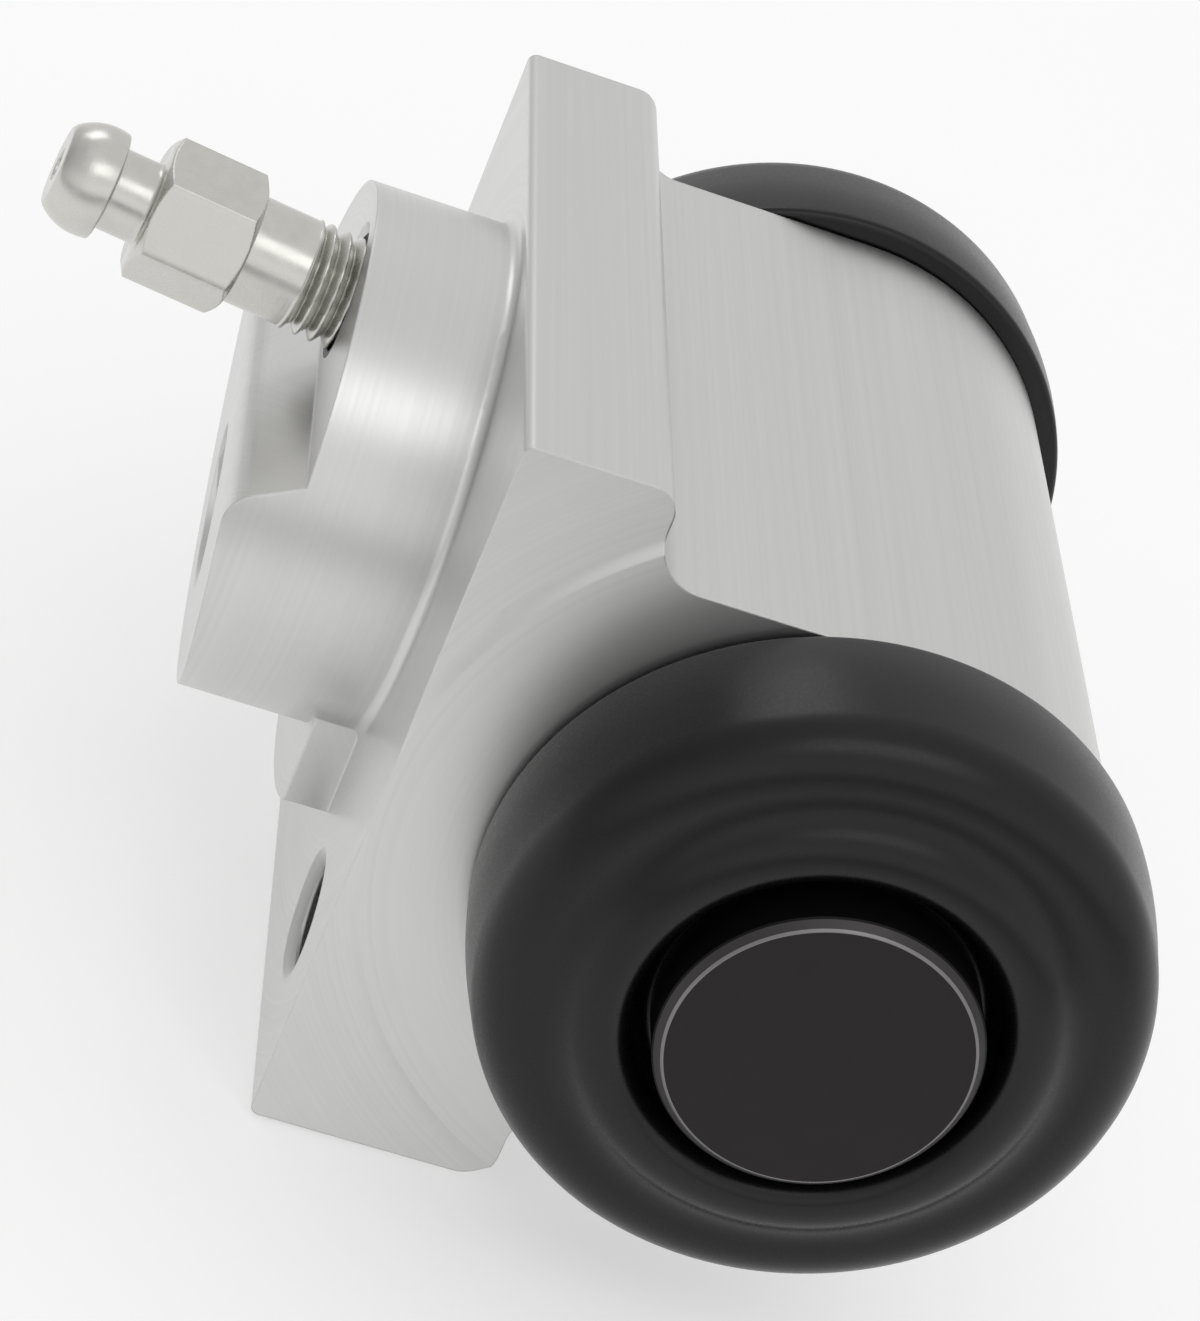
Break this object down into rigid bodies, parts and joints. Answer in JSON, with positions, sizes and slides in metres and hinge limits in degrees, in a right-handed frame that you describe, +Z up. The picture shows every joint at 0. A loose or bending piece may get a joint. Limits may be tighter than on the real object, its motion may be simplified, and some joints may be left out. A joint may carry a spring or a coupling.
{
  "type": "drum brake wheel cylinder",
  "caption": "Drum brake wheel cylinder: extruded aluminium barrel on a flange, round pilot boss, opposed pistons in rubber boots, leaning bleeder screw.",
  "frame": {"origin": "where the axis of the round pilot boss meets the flat mounting face", "axes": "+X along the bore, +Y out of the mounting face towards the vehicle, +Z up towards the bleeder"},
  "size_m": [0.0794, 0.0742, 0.0491],
  "materials": {
    "aluminium_body": "satin, brushed along the bore and turned",
    "anodised_piston": "dark anodised, bright edge",
    "seal_rubber": "matt",
    "pressed_steel": "pressed sheet",
    "spring_steel": "drawn wire",
    "boot_rubber": "satin moulded",
    "plated_steel": "bright zinc plated"
  },
  "bodies": {
    "housing": {"body": "aluminium_body", "boot_left": "boot_rubber", "boot_right": "boot_rubber", "spring": "spring_steel"},
    "left_piston": {"piston_left": "anodised_piston", "cup_left": "seal_rubber", "expander_left": "pressed_steel"},
    "right_piston": {"piston_right": "anodised_piston", "cup_right": "seal_rubber", "expander_right": "pressed_steel"},
    "bleeder": {"bleeder_screw": "plated_steel"}
  },
  "joints": [
    {"name": "left_piston_slide", "type": "slide", "parent": "housing", "child": "left_piston", "axis": [-1, 0, 0], "range_m": [-0.003, 0.007], "stiffness_N_per_m": 800, "deforming": ["boot_left", "spring"]},
    {"name": "right_piston_slide", "type": "slide", "parent": "housing", "child": "right_piston", "axis": [1, 0, 0], "range_m": [-0.003, 0.007], "stiffness_N_per_m": 800, "deforming": ["boot_right", "spring"]},
    {"name": "bleeder_turn", "type": "hinge", "parent": "housing", "child": "bleeder", "pos_m": [0, 0.009, 0.0105], "axis": [0, 0.9925, 0.1219], "range_deg": [0, 360]}
  ]
}
